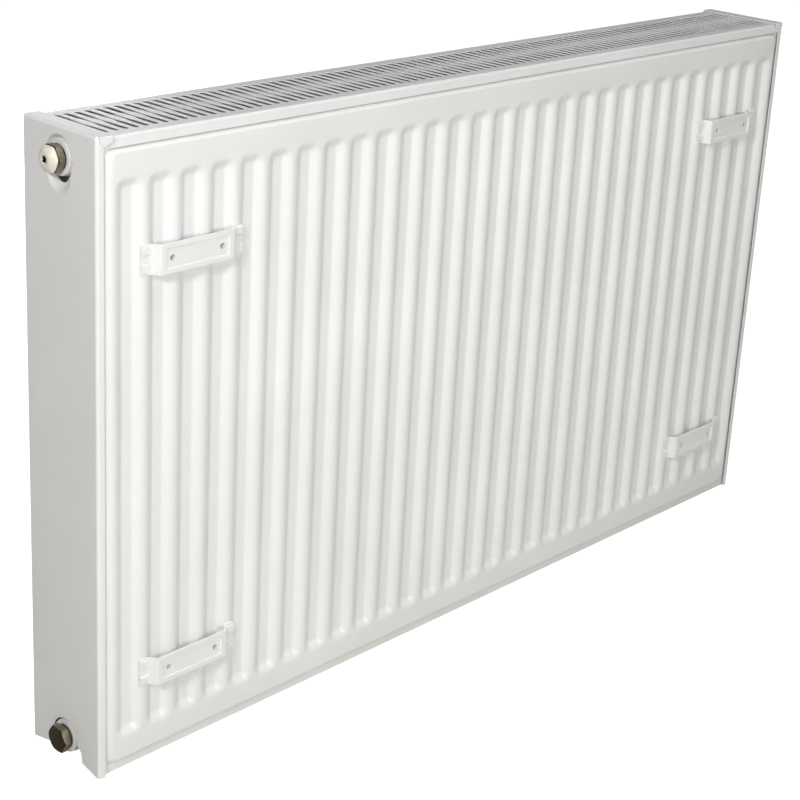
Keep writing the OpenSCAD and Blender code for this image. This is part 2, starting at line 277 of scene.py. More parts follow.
def white_enamel(name="white_enamel", light=(0.88, 0.88, 0.877), dark=(0.83, 0.83, 0.824)):
    """Gloss powder coat: faint orange peel and hardly any change of tone."""
    n = Nodes(name)
    cloud = n.ramp(n.noise(7, 3), [(0.3, dark), (0.7, light)])
    peel = n.bump(n.noise(450, 1), 0.00002, 0.4)
    n.set(IOR=1.5)
    return n.use(Base_Color=cloud, Roughness=n.spread(n.noise(12, 1), 0.33, 0.38), Normal=peel)


def browned_brass():
    """Brass gone brown: darker on the end faces that look along x, lighter on the flanks."""
    n = Nodes("browned_brass")
    normal = n.tree.nodes.new("ShaderNodeTexCoord").outputs["Normal"]
    flank = n.ramp(
        n.noise(90, 3),
        [(0.3, (0.17, 0.14, 0.1)), (0.52, (0.3, 0.25, 0.18)), (0.72, (0.5, 0.44, 0.34))],
    )
    face = n.ramp(n.noise(60, 2), [(0.3, (0.03, 0.014, 0.009)), (0.7, (0.065, 0.045, 0.022))])
    end_on = n.ramp(n.axis(normal, "X"), [(0.6, (0, 0, 0)), (0.85, (1, 1, 1))])
    mix = n.tree.nodes.new("ShaderNodeMix")
    mix.data_type = "RGBA"
    n.link(end_on, mix.inputs["Factor"])
    n.link(flank, mix.inputs["A"])
    n.link(face, mix.inputs["B"])
    scratch = n.bump(n.noise(420, 3, (1, 5, 1)), 0.00006, 0.4)
    n.set(Metallic=0.85)
    roughness = n.spread(n.noise(120, 3), 0.3, 0.46)
    return n.use(Base_Color=mix.outputs["Result"], Roughness=roughness, Normal=scratch)


def cream_plastic():
    """Slightly mottled cream moulding, with a fine grain."""
    n = Nodes("cream_plastic")
    tone = n.ramp(n.noise(90, 3), [(0.3, (0.74, 0.7, 0.6)), (0.7, (0.86, 0.83, 0.75))])
    n.set(Subsurface_Weight=0.08, Subsurface_Scale=0.002, IOR=1.46)
    grain = n.bump(n.noise(900, 2), 0.00004, 0.4)
    return n.use(Base_Color=tone, Roughness=n.spread(n.noise(120, 2), 0.32, 0.48), Normal=grain)


def seal_rubber():
    """Dull black rubber."""
    n = Nodes("seal_rubber")
    tone = n.ramp(n.noise(300, 3), [(0.3, (0.012, 0.012, 0.012)), (0.7, (0.035, 0.034, 0.033))])
    n.set(IOR=1.5)
    grain = n.bump(n.noise(1400, 2), 0.00005, 0.5)
    return n.use(Base_Color=tone, Roughness=n.spread(n.noise(200, 2), 0.55, 0.75), Normal=grain)


def spring_steel():
    """Bare steel strip, brushed along its height."""
    n = Nodes("spring_steel")
    tone = n.ramp(n.noise(200, 4), [(0.3, (0.42, 0.43, 0.45)), (0.7, (0.62, 0.63, 0.65))])
    brushed = n.bump(n.noise(250, 3, (1, 1, 14)), 0.00005, 0.5)
    n.set(Metallic=1.0)
    return n.use(Base_Color=tone, Roughness=n.spread(n.noise(80, 3), 0.25, 0.42), Normal=brushed)


# ---- Water panels ----

SHEET_T = 1.25
PRESS = 5                                  # height of the field over the seam, and of the grooves
SHEET_X, FACE_Y, SHEET_TOP = node_mm("rear_outer_sheet")[1]
PANEL_MID_Z = 300
CHANNELS = 30
PITCH = 1000 / CHANNELS
GROOVE_HALF = 13.15                        # from a groove's middle to the end of its slope
FLOOR_HALF = 6
FLOOR_CORNER = 1.8
GROOVE_LO, GROOVE_HI = 36, 561
GROOVE_FOOT, GROOVE_RIDGE = 0.2, 0.48      # how far each end of the slope is rounded
FIELD_X = SHEET_X - 6
FIELD_LO, FIELD_HI = 9.5, SHEET_TOP - 7
FIELD_RUN_X, FIELD_RUN_Z = 6, 3.5
FIELD_CORNER = 14
FIELD_FOOT, FIELD_RIDGE = 0.12, 0.3

# Mesh lines: from a groove's middle, from its end, and from the field's foot along x and z
GROOVE_LINES = (0, 4.5, 5.3, 6.1, 6.9, 7.9, 9.7, 10.7, 11.8, 12.9, 14, 15.3)
GROOVE_END_LINES = (-4, -2, -0.8, 0, 0.8, 1.8, 3, 4.5, 6, 7.6, 9.4, 12)
FIELD_LINES_X = (-0.8, 0, 1, 3, 4.5, 5.6, 7, 9)
FIELD_LINES_Z = (-0.45, 0, 0.45, 1.7, 2.8, 3.6, 4.6, 9)


def ramp(t, foot, head):
    """Straight slope from 0 at t = 0 to 1 at t = 1, rounded over foot and head at its ends."""
    if t <= -foot:
        return 0.0
    if t < foot:
        return (t + foot) ** 2 / (4 * foot)
    if t <= 1 - head:
        return t
    if t < 1 + head:
        return 1 - (1 + head - t) ** 2 / (4 * head)
    return 1.0


def smooth(t):
    """Even rise from 0 at t = 0 to 1 at t = 1, level at both ends."""
    t = min(max(t, 0), 1)
    return t * t * (3 - 2 * t)


def field_height(x, z):
    """Height of the pressed field over the seam."""
    dx = FIELD_X - abs(x)
    scale = FIELD_RUN_X / FIELD_RUN_Z
    dz = min(z - FIELD_LO, FIELD_HI - z) * scale
    if dx < FIELD_CORNER and dz < FIELD_CORNER:
        d = FIELD_CORNER - math.hypot(FIELD_CORNER - dx, FIELD_CORNER - dz)
    else:
        d = min(dx, dz)
    return PRESS * ramp(d / FIELD_RUN_X, FIELD_FOOT, FIELD_RIDGE)


def groove_depth(x, z):
    """Depth of the nearest groove under the channel face, well inside the pressed field."""
    if abs(x) >= FIELD_X - FIELD_RUN_X:
        return 0
    i = min(max(round(x / PITCH), 1 - CHANNELS // 2), CHANNELS // 2 - 1)
    run = GROOVE_HALF - FLOOR_HALF
    half_z = (GROOVE_HI - GROOVE_LO) / 2 - run
    dx = abs(x - i * PITCH) - (FLOOR_HALF - FLOOR_CORNER)
    dz = abs(z - (GROOVE_HI + GROOVE_LO) / 2) - (half_z - FLOOR_CORNER)
    d = math.hypot(max(dx, 0), max(dz, 0)) + min(max(dx, dz), 0) - FLOOR_CORNER
    return PRESS * (1 - ramp(d / run, GROOVE_FOOT, GROOVE_RIDGE))


def panel_columns():
    """Places of the mesh lines along the panel, close together on the slopes."""
    middles = [i * PITCH for i in range(1 - CHANNELS // 2, CHANNELS // 2)]
    columns = {round(m + s * h, DIGITS) for m in middles for h in GROOVE_LINES for s in (-1, 1)}
    columns |= {round(m + PITCH / 2, DIGITS) for m in middles[:-1]}
    ends = [SHEET_X] + [FIELD_X - e for e in FIELD_LINES_X]
    return sorted(columns | {s * e for e in ends for s in (-1, 1)})


def panel_rows():
    """Heights of the mesh lines across the panel."""
    rows = [0, PANEL_MID_Z, SHEET_TOP]
    rows += [FIELD_LO + e for e in FIELD_LINES_Z] + [FIELD_HI - e for e in FIELD_LINES_Z]
    rows += [GROOVE_LO + e for e in GROOVE_END_LINES] + [GROOVE_HI - e for e in GROOVE_END_LINES]
    return sorted(rows)


def outer_sheet(name, side, node, material):
    """Pressed outer sheet of a water panel, drawn for the wall side and mirrored for the room."""
    seam_y = FACE_Y - PRESS
    surface = Surface()
    surface.grid([
        [(x, seam_y + max(field_height(x, z) - groove_depth(x, z), 0), z) for x in panel_columns()]
        for z in panel_rows()
    ])
    obj = sheet_metal(name, surface, SHEET_T, (0, -BEHIND, PANEL_MID_Z), (1, side))
    return place(obj, "root", material, "white_enamel", node)


# ---- Round outlines ----

def arc(cx, cy, r, a0, a1, n):
    """Points of a round stretch from angle a0 to a1, in n steps."""
    return [
        (cx + r * math.cos(math.radians(a0 + (a1 - a0) * i / n)),
         cy + r * math.sin(math.radians(a0 + (a1 - a0) * i / n)))
        for i in range(n + 1)
    ]


def to_box(points, half, lo, hi, middle):
    """Throws the points of a closed outline out onto the box |u| <= half, lo <= v <= hi."""
    thrown = []
    for u, v in points:
        du, dv = u, v - middle
        side_v = (hi if dv > 0 else lo) - middle
        to_side = half / abs(du) if abs(du) > NEAR else FAR
        to_end = side_v / dv if abs(dv) > NEAR else FAR
        k = min(to_side, to_end)
        thrown.append([du * k, middle + dv * k])
    pull_to_corners(thrown, half, lo, hi)
    return [tuple(p) for p in thrown]


def pull_to_corners(points, half, lo, hi):
    """Moves the nearest point to each corner of the box into it."""
    for cu in (-half, half):
        for cv in (lo, hi):
            near = min(points, key=lambda p: math.hypot(p[0] - cu, p[1] - cv))
            near[0], near[1] = cu, cv


# ---- Side covers ----

AXIS_Z, LOWER_Z = 573, 23                  # heights of the upper and lower sockets
COVER_X = 500
TAB_OUT = 1.2
COVER_Y = node_mm("side_cover_right")[1].y - TAB_OUT
COVER_TOP = node_mm("side_cover_right")[1].z
COVER_BOTTOM = node_mm("side_cover_right")[0].z
COVER_T = 1
COVER_INSIDE = (470, 0, 300)
FOLD_R = 3
FOLD_STEPS = 6
PLATE_Y, PLATE_TOP = COVER_Y - FOLD_R, COVER_TOP - FOLD_R
FLANGE_X = COVER_X - 7.5
TOP_FLANGE_X = COVER_X - 17
TAB_X = TOP_FLANGE_X + 1
TAB_H = 9
TAB_POINT = 4
TAB_R = 1.4
TAB_ROOT_Y = COVER_Y - 0.4
HOLE_R, HOLE_LOW_R, HOLE_LOW_Z = 16.75, 9.2, 560.2
DISH_DEPTH = 4.2
DISH_STEPS = 7
DISH_OUT, DISH_LOW_OUT = 2.6, 6.8          # how much wider the dish is than the hole
DISH_UP, DISH_DOWN = 0.2, 3.6
HOLE_BOX_Y, HOLE_BOX_LO = 32, 528          # box of the plate round the dish
HOLE_BOX_MIDDLE = AXIS_Z - 6
NOTCH_FOOT, NOTCH_R, NOTCH_RISE = 25.5, 18, 5.5
NOTCH_KNEE_Y, NOTCH_KNEE_Z = 23.5, 16.5
NOTCH_Z = LOWER_Z - 0.5


def pear(r, z, low_r, low_z):
    """Outline of two round ends and their tangents, as (y, z) points."""
    a = math.degrees(math.asin((low_r - r) / (z - low_z)))
    return arc(0, z, r, a, 180 - a, 22)[:-1] + arc(0, low_z, low_r, 180 - a, 360 + a, 16)[:-1]


def dished_hole(surface):
    """The drawn rim round the connection's pear-shaped hole, and the flat box round it."""
    rings = []
    for k in range(DISH_STEPS + 1):
        t = k / DISH_STEPS
        outline = pear(
            HOLE_R + DISH_OUT * t, AXIS_Z + DISH_UP * t,
            HOLE_LOW_R + DISH_LOW_OUT * t, HOLE_LOW_Z - DISH_DOWN * t,
        )
        x = COVER_X - DISH_DEPTH * (1 - smooth(t))
        rings.append([(x, y, z) for y, z in outline])
    thrown = to_box(outline, HOLE_BOX_Y, HOLE_BOX_LO, PLATE_TOP, HOLE_BOX_MIDDLE)
    rings.append([(COVER_X, y, z) for y, z in thrown])
    surface.grid([ring + ring[:1] for ring in rings])
    return thrown


def bottom_edge(y):
    """Height of the cover's lower edge, which rises towards the notch."""
    rise = NOTCH_RISE * (COVER_Y - abs(y)) / (COVER_Y - NOTCH_FOOT)
    return max(COVER_BOTTOM, rise)


def notch_points():
    """Arch close round the lower socket, on legs that spread to the bottom edge."""
    return (
        [(-NOTCH_FOOT, NOTCH_RISE), (-NOTCH_KNEE_Y, NOTCH_KNEE_Z)]
        + arc(0, NOTCH_Z, NOTCH_R, 185, -5, 24)
        + [(NOTCH_KNEE_Y, NOTCH_KNEE_Z), (NOTCH_FOOT, NOTCH_RISE)]
    )


def cover_plate(surface):
    """The flat end of the cover: a box with the dished hole, and the faces round it."""
    thrown = dished_hole(surface)
    for side in (-1, 1):
        rim = sorted((z, y) for y, z in thrown if abs(y - side * HOLE_BOX_Y) < NEAR)
        outline = [(side * PLATE_Y, bottom_edge(PLATE_Y)), (side * PLATE_Y, PLATE_TOP)]
        outline += [(y, z) for z, y in reversed(rim)]
        outline += [(side * HOLE_BOX_Y, bottom_edge(HOLE_BOX_Y))]
        surface.face(*[(COVER_X, y, z) for y, z in outline])
    foot = bottom_edge(HOLE_BOX_Y)
    rim = sorted((y, z) for y, z in thrown if abs(z - HOLE_BOX_LO) < NEAR)
    outline = [(-HOLE_BOX_Y, foot)] + notch_points() + [(HOLE_BOX_Y, foot)]
    surface.face(*[(COVER_X, y, z) for y, z in outline + rim[::-1]])
    return thrown


def fold(side):
    """Quarter round from the plate to a flange, as (x, y) points."""
    points = arc(COVER_X - FOLD_R, PLATE_Y, FOLD_R, 0, 90, FOLD_STEPS)
    return [(x, side * y) for x, y in points]


def cover_flange(surface, side):
    """Side fold and the flange behind it."""
    path = fold(side) + [(FLANGE_X, side * COVER_Y)]
    surface.grid([
        [(x, y, bottom_edge(y)) for x, y in path],
        [(x, y, PLATE_TOP) for x, y in path],
    ])


def cover_corner(surface, side):
    """Ball corner between a side fold and the top fold."""
    rows = []
    for i in range(FOLD_STEPS + 1):
        up = math.radians(90 * i / FOLD_STEPS)
        row = []
        for j in range(FOLD_STEPS + 1):
            a = math.radians(90 * j / FOLD_STEPS)
            row.append((
                COVER_X - FOLD_R + FOLD_R * math.cos(up) * math.cos(a),
                side * (PLATE_Y + FOLD_R * math.cos(up) * math.sin(a)),
                PLATE_TOP + FOLD_R * math.sin(up),
            ))
        rows.append(row)
    surface.grid(rows)


def top_flange(surface, thrown):
    """Top fold and the flange that lies over the grille."""
    rim = sorted(y for y, z in thrown if abs(z - PLATE_TOP) < NEAR)
    across = [-PLATE_Y] + rim + [PLATE_Y]
    path = arc(COVER_X - FOLD_R, PLATE_TOP, FOLD_R, 0, 90, FOLD_STEPS)
    path += [(TAB_X, COVER_TOP), (TOP_FLANGE_X, COVER_TOP)]
    surface.grid([[(x, y, z) for y in across] for x, z in path])


def corner_tab(surface, side):
    """Five-sided tab bent down from the top flange over the corner of the grille."""
    lo, hi = TAB_X, COVER_X - FOLD_R
    bend = arc(COVER_Y + TAB_OUT - TAB_R, COVER_TOP - TAB_R, TAB_R, 90, 0, 4)
    path = [(PLATE_Y, COVER_TOP)] + bend
    surface.grid([[(x, side * y, z) for x in (lo, hi)] for y, z in path])
    root = [(TOP_FLANGE_X, PLATE_Y), (lo, PLATE_Y), (lo, TAB_ROOT_Y), (TOP_FLANGE_X, TAB_ROOT_Y)]
    surface.face(*[(x, side * y, COVER_TOP) for x, y in root])
    tab = [(lo, TAB_R), (hi, TAB_R), (hi, TAB_H / 2), ((lo + hi) / 2 + TAB_POINT / 2, TAB_H)]
    tab += [(lo, TAB_H - TAB_POINT)]
    surface.face(*[(x, side * (COVER_Y + TAB_OUT), COVER_TOP - drop) for x, drop in tab])


def side_cover(side, material):
    """Folded end cover, drawn for the right end and mirrored for the left."""
    name = "right" if side > 0 else "left"
    surface = Surface()
    thrown = cover_plate(surface)
    top_flange(surface, thrown)
    for y_side in (-1, 1):
        cover_flange(surface, y_side)
        cover_corner(surface, y_side)
        corner_tab(surface, y_side)
    obj = sheet_metal(
        f"cover_{name}_sheet", surface, COVER_T, COVER_INSIDE, (side, 1), bevel=0.22
    )
    return place(obj, f"cover_{name}", material, "white_enamel", f"side_cover_{name}")


# ---- Top grille ----

GRILLE_X, LIP_Y, GRILLE_TOP = node_mm("top_grille")[1]
LIP_LO = node_mm("top_grille")[0].z
LIP_R = 2.5
GRILLE_T = 0.8
SLOT_PITCH = 10.5
SLOT_W = 5.5
SLOT_L = 72
SLOT_STRAIGHT = (SLOT_L - SLOT_W) / 2
SLOTS = 92
CELL_Y = SLOT_L / 2 + 4
WAIST, WAIST_L = 0.6, 12
# (distance out from the slot, drop) over the slot's drawn edge
SLOT_EDGE = ((0, 0.5), (0.12, 0.27), (0.4, 0.1), (0.9, 0.03), (1.6, 0))


def waist(y):
    """Half width of a slot, which is drawn in at its middle."""
    return SLOT_W / 2 * (1 - WAIST * math.exp(-(y / WAIST_L) ** 2))


def slot_ring(out):
    """Outline of a slot, grown by out, as (x, y) points."""
    r = SLOT_W / 2 + out
    side = [SLOT_STRAIGHT * (1 - k / 7) for k in range(1, 14)]
    top = arc(0, SLOT_STRAIGHT, r, 0, 180, 10)
    low = arc(0, -SLOT_STRAIGHT, r, 180, 360, 10)
    left = [(-waist(y) - out, y) for y in side]
    right = [(waist(y) + out, -y) for y in side]
    return top + left + low + right


def slot_cell(ring):
    """Throws the points of a slot's outline out onto the box of its cell."""
    half = SLOT_PITCH / 2
    thrown = []
    for x, y in ring:
        beyond = abs(y) - SLOT_STRAIGHT
        if beyond <= NEAR:
            thrown.append([math.copysign(half, x), y])
        else:
            k = min(half / max(abs(x), NEAR), (CELL_Y - SLOT_STRAIGHT) / beyond)
            thrown.append([x * k, math.copysign(SLOT_STRAIGHT + beyond * k, y)])
    pull_to_corners(thrown, half, -CELL_Y, CELL_Y)
    return thrown


def grille_cell(surface, x0):
    """One slot, whose edge is drawn down, and its flat cell. Returns the places along its end."""
    rings = [
        [(x0 + x, y, GRILLE_TOP - drop) for x, y in slot_ring(out)] for out, drop in SLOT_EDGE
    ]
    thrown = slot_cell(slot_ring(SLOT_EDGE[-1][0]))
    rings.append([(x0 + x, y, GRILLE_TOP) for x, y in thrown])
    surface.grid([ring + ring[:1] for ring in rings])
    return {round(x0 + x, DIGITS) for x, y in thrown if abs(y - CELL_Y) < NEAR}


def grille_end(surface, x0, end):
    """Flat strip between the last slot's cell, which ends at x0, and the grille's end."""
    rim = {
        (x, y, z) for x, y, z in surface.points
        if abs(x - x0) < MERGED and abs(y) <= CELL_Y + MERGED and z > GRILLE_TOP - MERGED
    }
    corners = [(end * GRILLE_X, side * CELL_Y, GRILLE_TOP) for side in (1, -1)]
    surface.face(*sorted(rim, key=lambda p: p[1]), *corners)


def top_grille(material):
    """Slotted sheet with a lip bent down along each long side."""
    surface = Surface()
    first = -(SLOTS - 1) / 2 * SLOT_PITCH
    xs = set()
    for i in range(SLOTS):
        xs |= grille_cell(surface, first + i * SLOT_PITCH)
    xs = sorted(xs)
    ends = ((xs[0], -1), (xs[-1], 1))
    bend = arc(LIP_Y - LIP_R, GRILLE_TOP - LIP_R, LIP_R, 90, 0, 5)
    path = [(CELL_Y, GRILLE_TOP)] + bend + [(LIP_Y, LIP_LO)]
    for side in (-1, 1):
        surface.grid([[(x, side * y, z) for x in xs] for y, z in path])
        for x0, end in ends:
            surface.grid([[(x0, side * y, z), (end * GRILLE_X, side * y, z)] for y, z in path])
    for x0, end in ends:
        grille_end(surface, x0, end)
    obj = sheet_metal("top_grille_sheet", surface, GRILLE_T, (0, 0, -BEHIND))
    return place(obj, "root", material, "white_enamel", "top_grille")


# ---- Hanging brackets ----

BRACKET_T = 2
BRACKET_HALF_Z = 13.5
BRACKET_OUT = 9                            # the plate's outer face over the panel's face
PLATE_END = 40.8
FOOT_IN = 45
FOOT_OUT = 55.5
BEND_REACH = 1.8                           # how far a bend reaches from its corner
BEND_STEPS = 4
BOLT_X = 27.5
BOLT_R = 2.75
BOLT_BOX = 5                               # half the box of mesh lines round a bolt hole
BOLT_CELLS = 6
BOLT_LIP = 0.5
BOLT_DRAWN = 7.8                           # length of the drawn collar behind a bolt hole
# (wider than the hole, behind the face) from the flat face to the collar's end
BOLT_RINGS = ((1.1, 0), (0.4, 0), (0, 0), (0, BOLT_LIP), (0, BOLT_DRAWN))
PANEL_X, PANEL_Z, PANEL_CORNER = 34.8, 9.2, 2.2
PANEL_RUN = 0.5
PRESSED, RIM_PRESSED = 1.1, 0.8
BAND_X, BAND_Z, RIM_Z = FOOT_IN + 0.4, 4.6, 11.2
BAND_RUN_X, BAND_RUN_Z = 0.8, 0.9

# Mesh lines: along the plate, along a foot, across the bands and in from the pressed panel's edge
PLATE_LINES = (0, 7, 14, 20)
FOOT_LINES = (FOOT_IN + 2.4, FOOT_IN + 6, FOOT_OUT)
BAND_LINES = (0, 3.3, 3.7, 4.15, BAND_Z, BOLT_BOX, RIM_Z, 11.6, 12.1, BRACKET_HALF_Z)
PANEL_LINES = (PANEL_CORNER, 1.6, 1, 0.6, 0.3, 0)


def bracket_profile():
    """Outer line of the strap from its middle to a foot's end, as (x, out) points."""
    corners = [(0, BRACKET_OUT), (PLATE_END, BRACKET_OUT), (FOOT_IN, BRACKET_T)]
    corners.append((FOOT_OUT, BRACKET_T))
    points = []
    for before, corner, after in zip(corners, corners[1:], corners[2:]):
        middle = Vector(corner)
        start = middle + (Vector(before) - middle).normalized() * BEND_REACH
        end = middle + (Vector(after) - middle).normalized() * BEND_REACH
        for k in range(BEND_STEPS + 1):
            t = k / BEND_STEPS
            points.append(tuple(start * (1 - t) ** 2 + middle * 2 * t * (1 - t) + end * t * t))
    return [corners[0], *points, corners[-1]]


def bracket_out(x):
    """Height of the strap's outer face over the panel's face at x."""
    profile = bracket_profile()
    for (x0, out0), (x1, out1) in zip(profile, profile[1:]):
        if abs(x) <= x1 + NEAR:
            return out0 + (out1 - out0) * (abs(x) - x0) / (x1 - x0)
    return BRACKET_T


def emboss(x, z):
    """Depth of the shallow pressings: a panel in the plate, and bands across each foot."""
    x, z = abs(x), abs(z)
    out_x, out_z = PANEL_X - x, PANEL_Z - z
    if max(out_x, out_z) < PANEL_CORNER:
        edge = PANEL_CORNER - math.hypot(PANEL_CORNER - out_x, PANEL_CORNER - out_z)
    else:
        edge = min(out_x, out_z)
    panel = PRESSED * smooth(edge / PANEL_RUN)
    along = (x - BAND_X) / BAND_RUN_X
    band = PRESSED * smooth(min(along, (BAND_Z - z) / BAND_RUN_Z))
    rim = RIM_PRESSED * smooth(min(along, (z - RIM_Z) / BAND_RUN_Z))
    return panel + band + rim


def both_ways(values):
    """The values and their opposites, in order."""
    return sorted({round(s * v, DIGITS) for v in values for s in (-1, 1)})


def bracket_surface(middle):
    """The strap's outer face, over the given place on the panel's face."""
    cell = 2 * BOLT_BOX / BOLT_CELLS
    xs = [*PLATE_LINES, *FOOT_LINES, *(PANEL_X - e for e in PANEL_LINES)]
    xs += [x for x, _ in bracket_profile()]
    xs += [BOLT_X - BOLT_BOX + cell * i for i in range(BOLT_CELLS + 1)]
    zs = [*BAND_LINES, *(PANEL_Z - e for e in PANEL_LINES)]
    zs += [cell * i for i in range(BOLT_CELLS // 2 + 1)]
    xs, zs = both_ways(xs), both_ways(zs)

    def at(x, z, behind=0):
        out = bracket_out(x) - emboss(x, z) - behind
        return (middle[0] + x, middle[1] + out, middle[2] + z)

    surface = Surface()
    for x0, x1 in zip(xs, xs[1:]):
        for z0, z1 in zip(zs, zs[1:]):
            if abs(abs(x0 + x1) / 2 - BOLT_X) >= BOLT_BOX or abs(z0 + z1) / 2 >= BOLT_BOX:
                surface.face(at(x0, z0), at(x1, z0), at(x1, z1), at(x0, z1))
    for side in (-1, 1):
        bolt_hole(surface, side * BOLT_X, xs, zs, at)
    return surface


def bolt_hole(surface, x0, xs, zs, at):
    """Faces between a round hole and the box of mesh lines round it, and the collar behind."""
    bx = [x for x in xs if abs(x - x0) < BOLT_BOX + MERGED]
    bz = [z for z in zs if abs(z) < BOLT_BOX + MERGED]
    rim = [(bx[-1], z) for z in bz] + [(x, bz[-1]) for x in reversed(bx[:-1])]
    rim += [(bx[0], z) for z in reversed(bz[:-1])] + [(x, bz[0]) for x in bx[1:-1]]
    rings = [[at(x, z) for x, z in rim]]
    for wider, behind in BOLT_RINGS:
        ring = []
        for x, z in rim:
            k = (BOLT_R + wider) / math.hypot(x - x0, z)
            ring.append(at(x0 + (x - x0) * k, z * k, behind))
        rings.append(ring)
    surface.grid([ring + ring[:1] for ring in rings])


def bracket(node, material):
    """Hanging strap in the place of its CAD node."""
    lo, hi = node_mm(node)
    cx, cz = (lo.x + hi.x) / 2, (lo.z + hi.z) / 2
    surface = bracket_surface((cx, lo.y, cz))
    obj = sheet_metal(node + "_strap", surface, BRACKET_T, (cx, -BEHIND, cz), bevel=0.3)
    return place(obj, "root", material, "white_enamel", node)


# ---- Vent and blind plug ----

OUT_X = 500                                # open end of a socket
STEPS = 96
TURN = 2 * math.pi
SOCKET_R, SOCKET_IN_R = 15.85, 14.76       # outer and inner radius of the rim on a socket
RIM_DEPTH = 4.8
RIM_GROOVE_R = 15.6


def hexagon(across, cut):
    """Radius at an angle of a hexagon whose corners are cut back a little."""
    def radius(a):
        off = (a % (TURN / 6)) - TURN / 12
        return min(across / 2 / math.cos(off), across / math.sqrt(3) - cut)
    return radius


def turned(name, profile, z0, outline=None, angle=28, side=1):
    """A piece turned round the x axis at height z0, from its line of (distance out, radius) points.

    Where the line is wider than the outline, the outline is what is left.
    """
    surface = Surface()
    rows = []
    for out, r in profile:
        row = []
        for k in range(STEPS):
            a = TURN * k / STEPS
            radius = min(r, outline(a)) if outline else r
            row.append((OUT_X + out, radius * math.cos(a), z0 + radius * math.sin(a)))
        rows.append(row + row[:1])
    surface.grid(rows)
    obj = to_object(name, surface, (side, 1))
    shade(obj, angle)
    return obj


def socket_rim(level, end, material):
    """Thick rounded rim at the open end of a socket, with a groove round its side."""
    profile = [(-RIM_DEPTH, SOCKET_IN_R), (-RIM_DEPTH, RIM_GROOVE_R), (-4.6, SOCKET_R)]
    profile += [(-3, SOCKET_R), (-2.85, RIM_GROOVE_R), (-2.55, RIM_GROOVE_R), (-2.4, SOCKET_R)]
    profile += [(-0.8, SOCKET_R), (-0.3, 15.7), (0, 15.35), (0, SOCKET_IN_R), profile[0]]
    z0 = AXIS_Z if level == "top" else LOWER_Z
    side = 1 if end == "right" else -1
    obj = turned(f"socket_rim_{level}_{end}", profile, z0, side=side)
    return place(obj, "root", material, "white_enamel")


def vent_cap_piece(material):
    """Moulded cap: a soft six-sided drum with a rounded face and a hole for the key."""
    profile = [(10.3, 4.1), (8.6, 4.1), (8.5, 6.9), (8.4, 7.4), (8.4, 11.2), (8.6, 11.8), (9, 12.1)]
    profile += [(10.4, 12.1), (11, 11.8), (12.4, 9.9), (13.4, 8.5), (14, 7.7), (14.4, 6.9)]
    profile += [(14.6, 6.1), (14.65, 5), (14.6, 3.9), (14.4, 3.5), (14, 3.2), (12.4, 3.1)]
    profile += [(10.4, 3.1), (10.3, 4.1)]
    obj = turned("vent_cap_drum", profile, AXIS_Z, hexagon(21.6, 0.3), angle=40)
    return place(obj, "vent_cap", material, "cap_plastic", "vent_cap")


def vent_plug_piece(material):
    """Brass body with a six-sided shoulder between two turned lips."""
    profile = [(0, 0.001), (0, 9.1), (1.85, 9.1), (1.9, 12), (2.1, 12.4), (2.5, 12.9), (7.3, 13)]
    profile += [(7.7, 12.6), (8, 11.8), (8, 7.2), (8.2, 7), (11.7, 7), (12, 6.7), (12, 2.7)]
    profile += [(11.8, 2.55), (9, 2.55), (9, 0.001)]
    obj = turned("vent_plug_body", profile, AXIS_Z, hexagon(23, 0.2))
    return place(obj, "root", material, "plug_metal", "vent_plug")


def blind_plug_piece(material):
    """Hexagon head whose corners are turned off by a chamfer, on a round washer face."""
    profile = [(0, 0.001), (0, 9.1), (1.85, 9.1), (1.9, 11.2), (2.8, 11.4), (3, 12.4), (3.4, 13.2)]
    profile += [(3.9, 13.7), (8.9, 13.86), (9.2, 13.5)]
    profile += [(9.55, 12.95), (9.85, 12.3), (10, 11.7), (10, 0.001)]
    obj = turned("blind_plug_head", profile, LOWER_Z, hexagon(24, 0.15))
    return place(obj, "root", material, "plug_metal", "blind_plug")


# ---- Floor, light and camera, in metres ----

FLOOR_HALF_SIZE = 40
UNDER_RADIATOR = (0.46, 0.04)              # half sizes of the floor that shows through the slots
WORLD_LIGHT, WORLD_SEEN = 0.08, 1.0
LOW, MID, HIGH = (0.0, 0.0, 0.3), (0.0, 0.0, 0.35), (0.0, 0.0, 0.5)    # what the lights face

# (name, place, what it faces, size, watts)
SOFTBOXES = (
    ("side_key", (1.9, 0.9, 1.5), MID, (0.3, 0.3), 18.6),
    ("camera_fill", (1.35, 1.15, 0.95), (0.2, 0.0, 0.35), (0.3, 0.3), 4.1),
    ("wall_side", (0.4, 2.0, 0.8), MID, (0.6, 0.6), 15),
    ("ceiling", (0.1, 0.3, 2.2), HIGH, (2.4, 1.2), 14),
    ("room_side", (-0.9, -2.4, 0.5), LOW, (1.0, 0.8), 30),
    ("far_end", (-2.6, -0.3, 0.5), (-0.4, 0.0, 0.3), (0.8, 0.8), 16),
)

CAMERA_AT = (1.3375, 1.1796, 0.954)
AZIMUTH, ELEVATION, ROLL = (math.radians(a) for a in (133.09, 19.55, 3.16))
LENS, SHIFT_Y = 80.64, -0.1
VIEW_END = 60


def pale_floor():
    """Pale floor that the camera sees as white, except under the radiator."""
    n = Nodes("pale_floor")
    tone = n.ramp(n.noise(2, 2), [(0.3, (0.56, 0.54, 0.48)), (0.7, (0.59, 0.57, 0.51))])
    n.set(Roughness=0.8, Specular_IOR_Level=0.1, Emission_Color=(1, 1, 1, 1))
    past = [
        n.maths("GREATER_THAN", n.maths("ABSOLUTE", n.axis(n.place, axis)), half)
        for axis, half in zip("XY", UNDER_RADIATOR)
    ]
    seen = n.tree.nodes.new("ShaderNodeLightPath").outputs["Is Camera Ray"]
    glow = n.maths("MULTIPLY", n.maths("MAXIMUM", *past), seen)
    return n.use(Base_Color=tone, Emission_Strength=glow)


